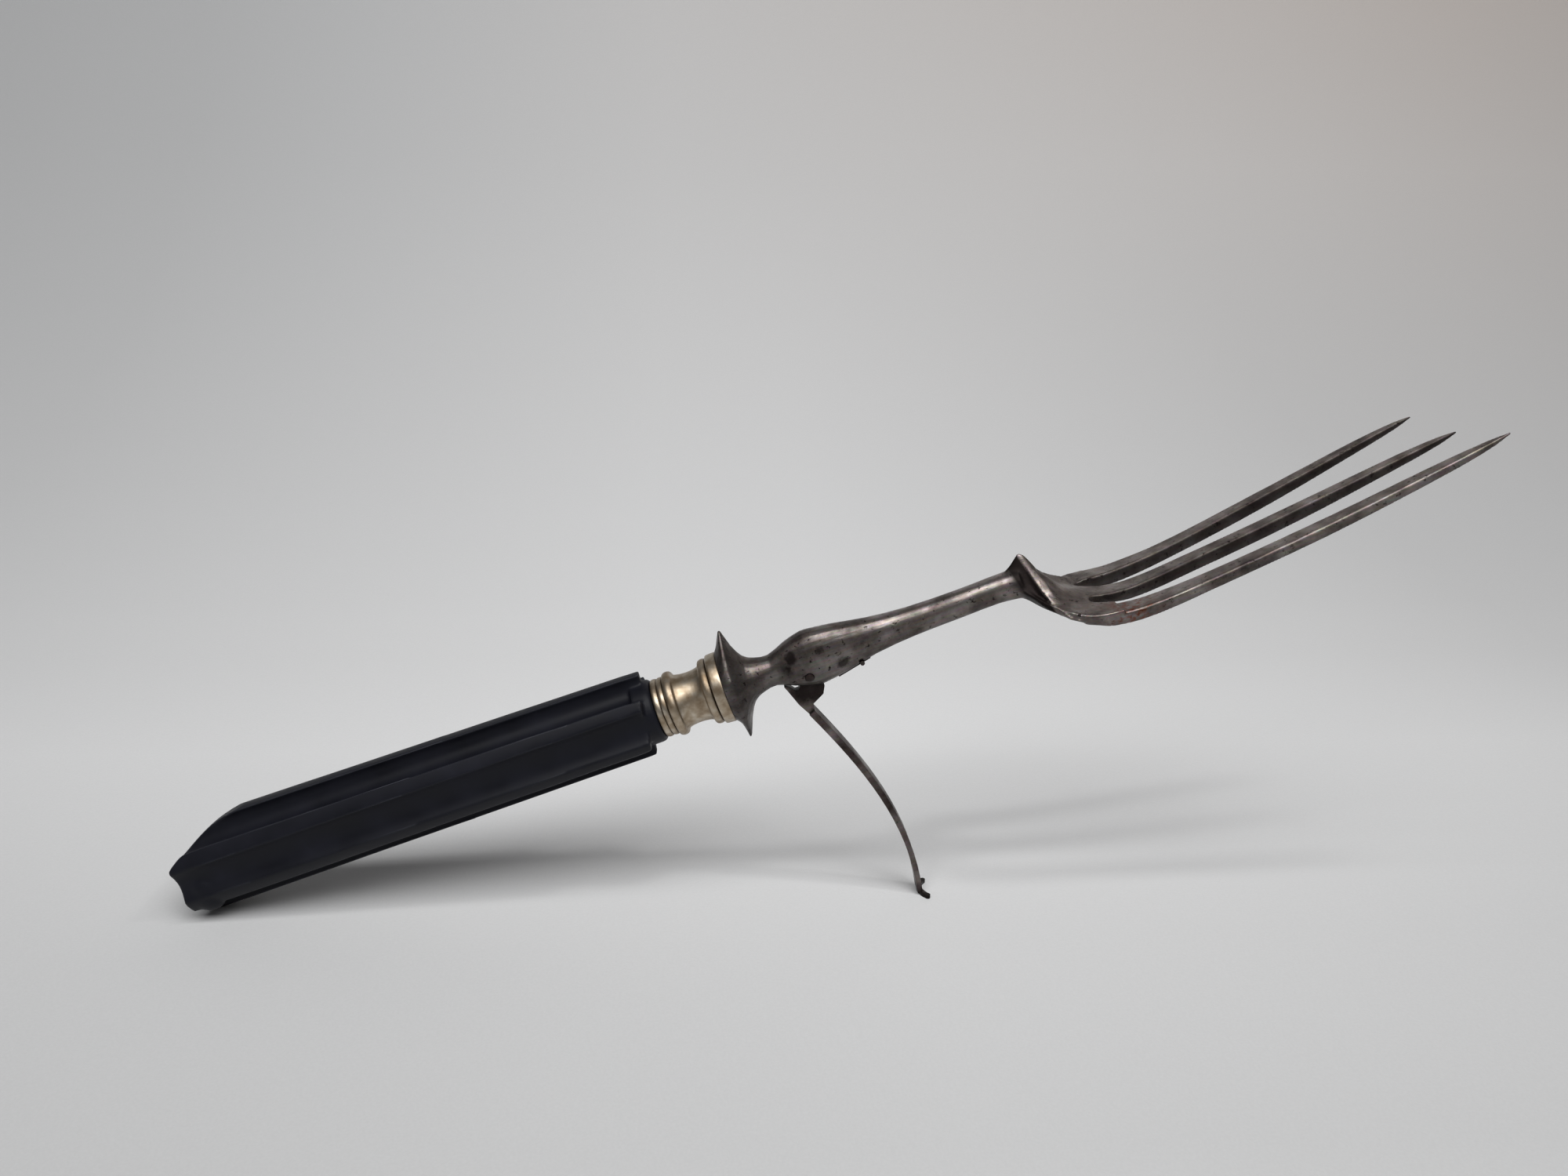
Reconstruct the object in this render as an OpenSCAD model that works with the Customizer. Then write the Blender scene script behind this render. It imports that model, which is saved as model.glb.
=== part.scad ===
/* [Handle] */
// Length of the ribbed grip, from the rib fronts to the butt
grip_len = 103.6; // [90:0.2:120]
// Distance from the ferrule back to the fronts of the ribs
rib_setback = 2.5; // [1.8:0.1:3.5]
// Slant of the shoulder where the ribs stop
rib_slant = 8; // [0:1:12]
// Radius over the ribs at the front of the grip
grip_r_front = 9.2; // [8.6:0.1:9.8]
// Radius over the ribs at the butt
grip_r_butt = 10.1; // [9.6:0.1:11.2]
// Radius of each long flute in the upper and the lower face
flute_r = 3.3; // [2.6:0.1:3.5]
// How deep these flutes go below the rib crests at the butt
flute_depth = 3.7; // [2.4:0.1:4.2]
// Radius of the broad flute along each side
side_flute_r = 5.2; // [4.4:0.1:6]
// How deep the side flutes go below the rib crests at the butt
side_flute_depth = 1.9; // [1.4:0.1:2.4]
// Radius of the long rounding on the upper side of the butt
butt_round = 30; // [20:1:45]
// Height of the blunt nose where that rounding meets the flat butt
butt_nose = 3.5; // [1:0.5:7]
// Turn of the butt towards the near side, as it was ground
butt_skew = 5; // [0:1:10]
// Radius of the small rounding on the lower edge of the butt
butt_corner = 2.5; // [1.5:0.25:4]
// Radius of the plain collar in front of the ribs
collar_r = 6.9; // [6.7:0.1:7.5]
// Length of the plain collar, back to where the flutes stop
collar_len = 4.2; // [4:0.1:6]
// Radius of the spigot that enters the ferrule
spigot_r = 4.6; // [4:0.1:4.7]
// Length of the spigot
spigot_len = 5; // [3:0.5:7]
// Radius of the hole bored for the tang
bore_r = 3.4; // [3:0.1:3.7]
// Depth of the tang hole behind the ferrule
bore_len = 84; // [70:1:86]

/* [Ferrule] */
// Length of the turned ferrule
ferrule_len = 15; // [13:0.5:20]
// Radius of the two thin rings at the handle end
ring_r = 6.35; // [6.2:0.05:6.6]
// Radius of the rear bead
rear_bead_r = 7; // [6.6:0.05:7.3]
// Radius of the hollow waist
waist_r = 5.5; // [5.3:0.1:6]
// Radius of the front bead
front_bead_r = 7.15; // [6.8:0.05:7.6]
// Radius of the flared band against the bolster
band_r = 7.65; // [7.3:0.05:8]
// Depth of the turned grooves between the beads
groove_depth = 0.35; // [0.2:0.05:0.5]

/* [Bolster and shank] */
// Height of the pointed bolster flange, tip to tip
flange_h = 24.8; // [20:0.2:28]
// Height of the round neck in front of the flange
neck_h = 6.8; // [6:0.1:8]
// Height of the swelling that holds the guard pivot
swell_h = 12.6; // [11.6:0.1:14]
// Width of the swelling
swell_w = 8.2; // [7:0.1:9.5]
// Height of the shank at its thinnest
shank_h = 5.8; // [5:0.1:7]
// Width of the shank at its thinnest
shank_w = 5.6; // [4.6:0.1:6.5]
// Distance from the ferrule to the middle of the swelling
swell_at = 19.4; // [18:0.2:22]
// Distance from the swelling to the point of the crown
crown_at = 47.8; // [44:0.5:56]

/* [Crown and tines] */
// Height of the crown's point above the fork axis
crown_h = 6.9; // [5:0.1:9]
// Drop of the tine roots below the fork axis
palm_drop = 7.2; // [5:0.1:9]
// Width across the palm
palm_w = 27; // [24:0.5:32]
// Thickness of the palm edge
palm_t = 1.8; // [1.4:0.1:2.4]
// How much the palm rises towards the root of the far tine
far_lift = 1.2; // [0:0.1:1.6]
// Length from the crown's point to the tip of the longest tine
tine_len = 95.6; // [80:1:110]
// Width of a tine at its root
tine_w = 6.7; // [5:0.1:7.4]
// Thickness of a tine
tine_t = 2.8; // [2:0.1:3.4]
// Distance between tine centres at the roots
root_pitch = 10.2; // [9.6:0.1:12]
// Distance between tine centres at the tips
tip_pitch = 14.8; // [11:0.1:17]
// Rise of the tine tips above the fork axis
tip_rise = 2.6; // [0:0.1:6]
// How much lower the tip of the middle tine is
middle_drop = 1.5; // [0:0.1:3]
// How much shorter the middle tine is worn
middle_wear = 1.8; // [0:0.1:6]
// How much shorter the far tine is worn
far_wear = 2.6; // [0:0.1:6]

/* [Tang] */
// Length of the tang behind the ferrule
tang_len = 78; // [60:1:82]
// Half diagonal of the square tang at the ferrule
tang_r = 3; // [2.5:0.1:3.2]
// Half diagonal of the tang at its end
tang_tip_r = 1.4; // [1:0.1:2]

/* [Guard] */
// Distance from the guard pivot to the back of the foot, along the fork
guard_reach = 6.4; // [2:0.2:12]
// Distance from the guard pivot down to the underside of the foot
guard_drop = 58.2; // [50:0.2:64]
// Forward bow of the guard leg
guard_bow = 3.9; // [2:0.2:6]
// Width of the guard leg
guard_w = 4.2; // [3:0.1:5]
// Thickness of the guard leg at the shank
guard_t = 1.5; // [1.3:0.1:2.2]
// Thickness of the guard leg at the foot
guard_foot_t = 1.1; // [0.9:0.1:1.6]
// Thickness of the guard tongue inside the shank slot
tongue_t = 2.4; // [1.8:0.1:3]
// Width across the horns of the foot
foot_w = 7.8; // [6:0.2:14]
// How far the horns of the foot bend forward
foot_bend = 1.4; // [1:0.1:3]
// Height of the foot
foot_h = 1; // [0.8:0.1:3]
// Depth of the flats worn on the foot and the butt
rest_wear = 0.15; // [0.1:0.05:0.3]

/* [Guard fittings] */
// Radius of the pivot pin
pin_r = 0.95; // [0.8:0.05:1.2]
// Radial running clearance of the guard on its pin
pin_clearance = 0.05; // [0.03:0.01:0.1]
// Depth of the pivot below the fork axis
pivot_drop = 3; // [2:0.1:3.6]
// Clearance between the tongue and each cheek of the slot
slot_clearance = 0.15; // [0.1:0.05:0.3]
// Gap left around the heel and the tail of the guard
swing_clearance = 0.3; // [0.2:0.05:0.5]
// Length of the leaf spring in the shank slot
spring_len = 7.8; // [6:0.2:10]
// Thickness of the leaf spring
spring_t = 1; // [0.7:0.1:1.3]
// Radius of the pin that holds the spring
spring_pin_r = 0.5; // [0.4:0.05:0.6]

/* [Hidden] */
$fn = 96;
seat_clearance = 0.05;
flute_count = 6;
ring_len = 1.4;
bead_len = 1.9;
band_len = 2.3;
collar_round = 1.1;
nose_r = 1.2;
nose_ahead = 1.254;
spare = 1;

// Places along the fork, whose axis is X and whose zero is the handle end of the ferrule
rib_front = -rib_setback;
butt = rib_front - grip_len;
flange_back = ferrule_len;
swell_x = ferrule_len + swell_at;
crown_x = swell_x + crown_at;
slot_root = crown_x + 10.3;
tip_x = crown_x + tine_len;
pivot = [swell_x - 1.9, -pivot_drop];
slot_w = tongue_t + 2 * slot_clearance;

// The foot of the guard and the corner of the butt set the stance
foot = pivot + [guard_reach, -guard_drop];
corner = [butt + butt_corner, -grip_r_butt + butt_corner];
span = norm(foot - corner);
fork_tilt = atan2(corner[1] - foot[1], foot[0] - corner[0]) - asin(butt_corner / span);
table_up = [sin(fork_tilt), cos(fork_tilt)];
table_level = table_up * foot + rest_wear;

function mix(a, b, t) = a + (b - a) * t;

// Smooth curve through rows of values, the first value of each row being its place
function spline(p0, p1, p2, p3, t) =
    let (m1 = (p2 - p0) / (p2[0] - p0[0]) * (p2[0] - p1[0]),
         m2 = (p3 - p1) / (p3[0] - p1[0]) * (p2[0] - p1[0]))
    (2 * t * t * t - 3 * t * t + 1) * p1 + (t * t * t - 2 * t * t + t) * m1
    + (3 * t * t - 2 * t * t * t) * p2 + (t * t * t - t * t) * m2;
function refine(rows, steps) =
    [for (i = [0 : len(rows) - 2], k = [0 : steps - 1])
        spline(i > 0 ? rows[i - 1] : 2 * rows[0] - rows[1], rows[i], rows[i + 1],
               i < len(rows) - 2 ? rows[i + 2] : 2 * rows[i + 1] - rows[i], k / steps),
     rows[len(rows) - 1]];

// A skin over rings that all have the same number of points
module skin(rings) {
    n = len(rings[0]);
    last = len(rings) - 1;
    sides = [for (i = [0 : last - 1], k = [0 : n - 1])
        [i * n + k, i * n + (k + 1) % n, (i + 1) * n + (k + 1) % n, (i + 1) * n + k]];
    caps = [[for (k = [n - 1 : -1 : 0]) k], [for (k = [0 : n - 1]) last * n + k]];
    polyhedron([for (ring = rings, p = ring) p], concat(sides, caps), convexity = 6);
}

// Stands the fork on its butt and the foot of its guard, over the middle of its length
module stand() {
    rotate([0, -fork_tilt, 0])
        children();
}
function level(p) = p[0] * cos(fork_tilt) - p[1] * sin(fork_tilt);
middle = (level([butt, 0]) - nose_ahead + level([tip_x, tip_rise])) / 2;
module place() {
    translate([-middle, 0, -table_level])
        stand()
            children();
}

// Everything below the table is worn away
module above_table() {
    difference() {
        children();
        rotate([0, fork_tilt, 0])
            translate([-200, -50, table_level - 20])
                cube([400, 100, 20]);
    }
}

// A solid of revolution about the fork axis, from points of place and radius
module turned(points) {
    rotate([90, 0, 90])
        rotate_extrude()
            polygon([for (p = points) [p[1], p[0]]]);
}

// Points of an arc in a side outline
function arc(centre, r, from, to, steps) =
    [for (i = [0 : steps]) centre + r * [cos(mix(from, to, i / steps)), sin(mix(from, to, i / steps))]];

// Side outline of the grip: long upper rounding, blunt nose, flat butt and small lower rounding
module butt_outline() {
    clear_r = grip_r_butt + spare;
    back = [butt + sqrt(pow(butt_round, 2) - pow(butt_nose - grip_r_butt + butt_round, 2)),
            grip_r_butt - butt_round];
    nose = [butt + nose_r,
            back[1] + sqrt(pow(butt_round - nose_r, 2) - pow(back[0] - butt - nose_r, 2))];
    turn = atan2(nose[1] - back[1], nose[0] - back[0]);
    polygon(concat(
        [[spare, -clear_r], [spare, clear_r], [back[0], clear_r]],
        arc(back, butt_round, 90, turn, 14),
        arc(nose, nose_r, turn + 5, 180, 6),
        arc(corner, butt_corner, 180, 270, 8),
        [[corner[0], -clear_r]]
    ));
}

// A flute along the top, which follows the taper of the grip
module flute(r, depth) {
    back = grip_r_butt - depth + r;
    front = back * grip_r_front / grip_r_butt;
    translate([0, 0, front])
        rotate([0, -90 + atan2(back - front, -butt), 0])
            translate([0, 0, -spare])
                cylinder(h = 2 * spare - 1.02 * butt, r = r);
}

// Deep flutes above and below, with a shallow one along each side
module flutes() {
    for (k = [0 : flute_count - 1])
        rotate([(k + 0.5) * 360 / flute_count, 0, 0])
            if (k % 3 == 1)
                flute(side_flute_r, side_flute_depth);
            else
                flute(flute_r, flute_depth);
}

// The ribs stop at a slanted shoulder
module shoulder() {
    translate([rib_front, 0, 0])
        rotate([0, rib_slant - 90, 0])
            cylinder(h = 1.1 * grip_len, r = 4 * grip_r_butt);
}

module handle() {
    color("#1d1e22")
        place()
            above_table()
                difference() {
                    union() {
                        intersection() {
                            difference() {
                                rotate([0, -90, 0])
                                    cylinder(h = -butt, r1 = grip_r_front, r2 = grip_r_butt);
                                flutes();
                            }
                            translate([butt, 0, 0])
                                rotate([90, 0, -butt_skew])
                                    linear_extrude(4 * grip_r_butt, center = true)
                                        translate([-butt, 0])
                                            butt_outline();
                            shoulder();
                        }
                        collar();
                    }
                    translate([-bore_len, 0, 0])
                        rotate([0, 90, 0])
                            cylinder(h = bore_len + ferrule_len, r = bore_r);
                }
}

// The plain collar with its rounded front edge, and the spigot inside the ferrule
module collar() {
    turned([
        [-collar_len, 0],
        [-collar_len, collar_r],
        for (a = [0 : 15 : 90])
            [-collar_round + collar_round * sin(a), collar_r - collar_round + collar_round * cos(a)],
        [0, spigot_r],
        [spigot_len, spigot_r],
        [spigot_len, 0]
    ]);
}

// Outline of the ferrule: rings, bead, hollow waist, bead and flared band
function bead(from, length, r, depth) =
    [for (a = [0 : 20 : 180])
        [from + length * (1 - cos(a)) / 2, r - depth + depth * sin(a)]];
module ferrule() {
    waist_from = 2 * ring_len + bead_len;
    waist_len = ferrule_len - band_len - bead_len - waist_from;
    waist_edge = waist_r + 0.8;
    bead_from = waist_from + waist_len;
    band_from = ferrule_len - band_len;
    color("#b9a98c")
        place()
            difference() {
                turned(concat(
                    [[0, 0]],
                    bead(0, ring_len, ring_r, groove_depth),
                    bead(ring_len, ring_len, ring_r, groove_depth),
                    bead(2 * ring_len, bead_len, rear_bead_r, groove_depth * 1.6),
                    [for (a = [0 : 15 : 180])
                        [waist_from + waist_len * (1 - cos(a)) / 2,
                         waist_edge - (waist_edge - waist_r) * sin(a)]],
                    bead(bead_from, bead_len, front_bead_r, groove_depth * 1.6),
                    [[band_from, band_r - groove_depth],
                     [band_from + 0.3, band_r - 0.1],
                     [ferrule_len - 0.4, band_r],
                     [ferrule_len, band_r - 0.1],
                     [ferrule_len, 0]]
                ));
                translate([-spare, 0, 0])
                    rotate([0, 90, 0])
                        cylinder(h = ferrule_len + 2 * spare, r = spigot_r + seat_clearance);
            }
}

// A section that is pinched to a point at the top and bottom where sharp is 2, and whose
// lower edge leans back, and half as far ahead at the top
function section(x, half_w, half_h, sharp, centre, lean) =
    [for (a = [345 : -15 : 0])
        [x + lean * pow(sin(a), 3) * (sin(a) > 0 ? 0.5 : 1),
         half_w * sign(cos(a)) * pow(abs(cos(a)), sharp), centre + half_h * sin(a)]];

// Bolster flange, neck, swelling and shank, as rows of place, half width, half height,
// sharpness of the top and bottom edges, height of the centre, and lean of the lower edge
module shank() {
    skin([for (row = refine([
        [flange_back, band_r, band_r, 1, 0, 0],
        [flange_back + 0.9, band_r + 0.1, flange_h * 0.37, 1.25, 0, 0.2],
        [flange_back + 1.9, band_r, flange_h * 0.497, 1.9, -0.3, 0.9],
        [flange_back + 2.5, band_r * 0.94, flange_h * 0.49, 2.1, -0.3, 0.9],
        [flange_back + 3.6, band_r * 0.8, flange_h * 0.34, 1.7, -0.1, 0.5],
        [flange_back + 5.2, band_r * 0.62, flange_h * 0.21, 1.25, 0, 0.2],
        [flange_back + 7.4, neck_h * 0.53, neck_h * 0.57, 1, 0, 0],
        [flange_back + 10.4, neck_h * 0.48, neck_h * 0.5, 0.95, 0, 0],
        [flange_back + 14.4, swell_w * 0.45, swell_h * 0.395, 0.85, 0, 0],
        [swell_x - 1, swell_w * 0.5, swell_h * 0.49, 0.8, -0.1, 0],
        [swell_x + 1.6, swell_w * 0.5, swell_h * 0.48, 0.8, -0.1, 0],
        [swell_x + 6, swell_w * 0.47, swell_h * 0.43, 0.8, 0, 0],
        [swell_x + 13, mix(swell_w, shank_w, 0.5) / 2, mix(swell_h, shank_h, 0.68) / 2, 0.8, 0.2, 0],
        [swell_x + 22, shank_w * 0.52, shank_h * 0.54, 0.8, 0.3, 0],
        [swell_x + 33, shank_w * 0.5, shank_h * 0.5, 0.8, 0.5, 0],
        [crown_x - 7, shank_w * 0.52, shank_h * 0.5, 0.8, 0.8, 0],
        [crown_x - 1.5, shank_w * 0.6, shank_h * 0.56, 0.8, 0.6, 0]
    ], 2)) section(row[0], row[1], row[2], row[3], row[4], row[5])]);
}

// Rise of the palm towards its far edge, which grows from the crown to the slot roots
function lift(x, s) =
    far_lift * max(0, s) * s * min(1, max(0, (x - crown_x) / (slot_root - crown_x)));

// Rows of the crown and palm: place, half width, height of the edges, rise of the middle,
// sharpness of that rise, thickness of the edges, and bulge of the underside
module palm() {
    edge = -palm_drop;
    half = palm_w / 2;
    skin([for (row = refine([
        [crown_x - 6, shank_w * 0.4, 0.5, shank_h * 0.4, 0.6, 0.2, shank_h * 0.2],
        [crown_x - 2.6, half * 0.25, 0.1, crown_h * 0.7, 1.3, 0.4, 2.2],
        [crown_x - 0.8, half * 0.35, edge * 0.16, crown_h * 1.12, 2.1, 0.7, 2],
        [crown_x + 0.2, half * 0.43, edge * 0.3, crown_h + palm_drop * 0.28, 2.7, 1, 1.8],
        [crown_x + 1.4, half * 0.51, edge * 0.46, crown_h * 0.8 + palm_drop * 0.44, 2.8, palm_t * 0.7, 1.6],
        [crown_x + 2.8, half * 0.6, edge * 0.59, crown_h * 0.36 + palm_drop * 0.52, 2.5, palm_t * 0.85, 1.4],
        [crown_x + 4.4, half * 0.72, edge * 0.71, crown_h * 0.1 + palm_drop * 0.6, 2.1, palm_t, 1.2],
        [crown_x + 6.2, half * 0.85, edge * 0.82, palm_drop * 0.48, 1.8, palm_t, 0.9],
        [crown_x + 8.2, half * 0.94, edge * 0.9, palm_drop * 0.32, 1.6, palm_t, 0.5],
        [slot_root + 0.4, half * 0.985, edge * 0.97, palm_drop * 0.2, 1.5, palm_t, 0.2],
        [slot_root + 4.7, half, edge * 1.05, palm_drop * 0.06, 1.5, palm_t * 0.3, 0.05]
    ], 2)) concat(
        [for (k = [-6 : 6]) let (s = k / 6)
            [row[0], row[1] * s * sqrt(abs(s)),
             row[2] + row[3] * pow(1 - s * s, row[4]) + lift(row[0], s)]],
        [for (k = [6 : -1 : -6]) let (s = k / 6)
            [row[0], row[1] * s * sqrt(abs(s)),
             row[2] - row[5] - row[6] * (1 - s * s) + lift(row[0], s)]]
    )]);
}

// One tine: flat on top, with bevelled lower sides, tapering to a point
module tine(side, wear, drop) {
    start = slot_root + 2;
    tip = tip_x - wear;
    rise = tip_rise - drop;
    lifted = side > 0 ? far_lift : 0;
    skin([for (row = refine([
        [start, side * root_pitch, lifted - palm_drop + (side == 0 ? 0.6 : 0), tine_w * 0.97, palm_t],
        [start + 8, side * mix(root_pitch, tip_pitch, 0.16), 0.6 * lifted - palm_drop - 0.3, tine_w * 0.9, tine_t],
        [mix(start, tip, 0.26), side * mix(root_pitch, tip_pitch, 0.36), mix(-palm_drop, rise, 0.1),
         tine_w * 0.79, tine_t],
        [mix(start, tip, 0.55), side * mix(root_pitch, tip_pitch, 0.66), mix(-palm_drop, rise, 0.44),
         tine_w * 0.71, tine_t * 0.95],
        [mix(start, tip, 0.84), side * mix(root_pitch, tip_pitch, 0.9), mix(-palm_drop, rise, 0.82),
         tine_w * 0.58, tine_t * 0.6],
        [mix(start, tip, 0.95), side * mix(root_pitch, tip_pitch, 0.97), mix(-palm_drop, rise, 0.95),
         tine_w * 0.32, tine_t * 0.4],
        [tip, side * tip_pitch, rise - 0.15, tine_w * 0.05, tine_t * 0.12]
    ], 4)) [for (c = [[-0.5, 0], [0.5, 0], [0.49, -0.45], [0.3, -1], [-0.3, -1], [-0.49, -0.45]])
        [row[0], row[1] + c[0] * row[3], row[2] + c[1] * row[4]]]]);
}

module tines() {
    tine(-1, 0, 0);
    tine(0, middle_wear, middle_drop);
    tine(1, far_wear, 0);
}

// The slots between the tines end in round roots and open out with the tines
module slot_roots() {
    root_r = (root_pitch - tine_w) / 2;
    root = [slot_root + root_r, root_pitch / 2];
    far = slot_root + 12;
    for (side = [0, 1])
        mirror([0, side, 0])
            translate([0, 0, -2 * palm_drop])
                linear_extrude(2 * palm_drop + crown_h)
                    polygon(concat(
                        arc(root, root_r, 95, 265, 12),
                        [[slot_root + 6, root[1] - root_r - 0.55],
                         [far, root[1] - root_r - 0.6],
                         [far, root[1] + root_r + 1.2],
                         [slot_root + 6, root[1] + root_r + 0.8]]
                    ));
}

// Square tang with a round shoulder that fills the front of the ferrule
module tang() {
    translate([flange_back + 0.5, 0, 0])
        rotate([0, -90, 0])
            cylinder(h = tang_len + flange_back + 0.5, r1 = tang_r, r2 = tang_tip_r, $fn = 4);
    translate([spigot_len + 3, 0, 0])
        rotate([0, 90, 0])
            cylinder(h = flange_back - spigot_len - 2, r = spigot_r);
}

// Offsets from the pivot: the lower corner of the heel, and the two ends of the slot
heel = [1.5, -5.35];
slot_back = pivot[0] - 3.2;
slot_front = pivot[0] + norm(heel) + swing_clearance;

// The slot in the underside of the swelling, the bed of the spring and the pin holes
module guard_slot() {
    roof = pivot[1] + 3;
    translate([slot_back, -slot_w / 2, roof - swell_h])
        cube([slot_front - slot_back, slot_w, swell_h]);
    spring_place()
        translate([-spare, -slot_w / 2, -swell_h])
            cube([spring_len + spare, slot_w, swell_h + spring_t]);
    pin_bore(pivot, pin_r);
    pin_bore(spring_seat, spring_pin_r);
}

// The spring lies flush along the underside of the shank, in front of the slot
spring_from = [slot_front, -swell_h * 0.465];
spring_slope = 13;
spring_seat = spring_from
    + [cos(spring_slope), sin(spring_slope)] * (spring_len - 2)
    + [-sin(spring_slope), cos(spring_slope)] * spring_t / 2;
module spring_place() {
    translate([spring_from[0], 0, spring_from[1]])
        rotate([0, -spring_slope, 0])
            children();
}
module pin_bore(at, r) {
    translate([at[0], 0, at[1]])
        rotate([90, 0, 0])
            cylinder(h = 40, r = r, center = true);
}

module fork() {
    color("#6e6764")
        place()
            difference() {
                union() {
                    tang();
                    shank();
                    difference() {
                        palm();
                        slot_roots();
                    }
                    tines();
                }
                guard_slot();
            }
}

// Resin run into the handle and the ferrule around the tang
module tang_resin() {
    color("#5a3a20")
        place()
            difference() {
                union() {
                    translate([-bore_len, 0, 0])
                        rotate([0, 90, 0])
                            cylinder(h = bore_len + spigot_len, r = bore_r);
                    translate([spigot_len, 0, 0])
                        rotate([0, 90, 0])
                            cylinder(h = 3, r = spigot_r);
                }
                tang();
            }
}

// Leg of the guard: a bowed strip from the heel down to the foot
function curve(a, b, c, d, t) =
    pow(1 - t, 3) * a + 3 * pow(1 - t, 2) * t * b + 3 * (1 - t) * t * t * c + t * t * t * d;
leg_top = pivot + [-2.1, -8.4];
leg_bottom = foot + [0.65 * guard_foot_t, foot_h / 2];
function leg(t) = curve(leg_top, mix(leg_top, leg_bottom, 0.32) + [guard_bow, 0],
    mix(leg_top, leg_bottom, 0.64) + [1.68 * guard_bow, 0], leg_bottom, t);
function leg_normal(t) = let (d = leg(t + 0.01) - leg(t - 0.01)) [-d[1], d[0]] / norm(d);
module leg_outline() {
    steps = 16;
    polygon(concat(
        [for (i = [0 : steps]) let (t = i / steps)
            leg(t) + leg_normal(t) * mix(guard_t, guard_foot_t, t) / 2],
        [for (i = [steps : -1 : 0]) let (t = i / steps)
            leg(t) - leg_normal(t) * mix(guard_t, guard_foot_t, t) / 2]
    ));
}

// Tongue of the guard: hub on the pin, square heel in front and tail under the neck
hub_r = pin_r + 1.5;
tail_z = -mix(neck_h * 0.5, swell_h * 0.395, 0.35) - swing_clearance / 2;
module tongue_outline() {
    difference() {
        union() {
            translate(pivot)
                circle(hub_r);
            polygon([
                [pivot[0] - 5.6, tail_z],
                [pivot[0] - 4.7, tail_z - 0.75],
                [pivot[0] - 3.9, tail_z - 1.75],
                [pivot[0] - 3.2, tail_z - 1.75],
                [pivot[0] - 2.7, tail_z - 1],
                pivot + [-hub_r, 0],
                pivot + [hub_r, 0],
                pivot + [2.3, -3.7],
                pivot + heel,
                pivot + [-1.2, -6.8],
                leg(0) + leg_normal(0) * guard_t / 2,
                leg(0) - leg_normal(0) * guard_t / 2,
                pivot + [-4.2, -6],
                [pivot[0] - 5.5, tail_z - 1.1],
                [pivot[0] - 5.9, tail_z - 0.1]
            ]);
        }
        translate(pivot)
            circle(pin_r + pin_clearance);
    }
}

// Foot of the guard: a thin crescent whose horns bend forward, level with the table
module foot_crescent() {
    half = (foot_w - guard_foot_t) / 2;
    bend_r = (half * half + foot_bend * foot_bend) / (2 * foot_bend);
    horn = asin(half / bend_r);
    translate([foot[0], 0, foot[1]])
        rotate([0, fork_tilt, 0])
            translate([guard_foot_t / 2, 0, 0]) {
                translate([bend_r, 0, 0])
                    rotate([0, 0, 180 - horn])
                        rotate_extrude(angle = 2 * horn)
                            translate([bend_r - guard_foot_t / 2, 0])
                                square([guard_foot_t, foot_h]);
                for (side = [-1, 1])
                    translate([foot_bend, side * half, 0])
                        cylinder(h = foot_h, r = guard_foot_t / 2);
            }
}

module guard() {
    color("#6a625e")
        place()
            above_table() {
                rotate([90, 0, 0])
                    linear_extrude(guard_w, center = true)
                        leg_outline();
                rotate([90, 0, 0])
                    linear_extrude(tongue_t, center = true)
                        tongue_outline();
                foot_crescent();
            }
}

module pivot_pin() {
    color("#55504c")
        place()
            translate([pivot[0], 0, pivot[1]])
                rotate([90, 0, 0])
                    cylinder(h = swell_w * 0.9, r = pin_r, center = true);
}

module guard_spring() {
    spring_w = slot_w - 2 * seat_clearance;
    color("#4c4744")
        place()
            difference() {
                spring_place()
                    translate([0, -spring_w / 2, 0])
                        cube([spring_len - seat_clearance, spring_w, spring_t]);
                pin_bore(spring_seat, spring_pin_r);
            }
}

module spring_pin() {
    color("#55504c")
        place()
            translate([spring_seat[0], 0, spring_seat[1]])
                rotate([90, 0, 0])
                    cylinder(h = swell_w * 0.72, r = spring_pin_r, center = true);
}

handle();
ferrule();
fork();
tang_resin();
guard();
pivot_pin();
guard_spring();
spring_pin();
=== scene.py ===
# %% [markdown]
# # A carving fork with a folding guard
# The fork stands on two points: the lower corner of its butt and the small foot of
# its guard. The CAD model gives every size, and this file gives it its finish: rounded
# arrises, turned rings, worn steel, and the light that it is seen in.

# %% Load the CAD model
import math

import bpy
from mathutils import Matrix, Vector


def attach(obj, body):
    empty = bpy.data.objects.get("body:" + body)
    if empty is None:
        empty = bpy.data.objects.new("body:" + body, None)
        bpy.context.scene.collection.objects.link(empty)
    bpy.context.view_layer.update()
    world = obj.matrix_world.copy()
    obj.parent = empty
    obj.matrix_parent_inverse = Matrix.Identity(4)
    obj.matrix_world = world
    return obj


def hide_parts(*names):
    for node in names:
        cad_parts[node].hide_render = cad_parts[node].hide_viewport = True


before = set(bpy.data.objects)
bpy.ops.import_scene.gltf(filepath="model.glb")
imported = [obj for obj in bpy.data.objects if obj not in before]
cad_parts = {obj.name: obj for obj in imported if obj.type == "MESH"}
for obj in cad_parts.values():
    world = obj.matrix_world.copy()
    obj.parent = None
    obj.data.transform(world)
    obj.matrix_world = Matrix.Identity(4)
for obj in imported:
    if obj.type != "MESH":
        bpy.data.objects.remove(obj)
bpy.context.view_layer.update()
print("CAD nodes:", sorted(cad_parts))

# %% [markdown]
# ## Two frames
# The fork is easiest to build lying straight, with its axis along X and the handle end
# of the ferrule at zero. It then tilts by the angle at which it stands, and moves over
# the middle of its length. The same three numbers come from the CAD model.

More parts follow.
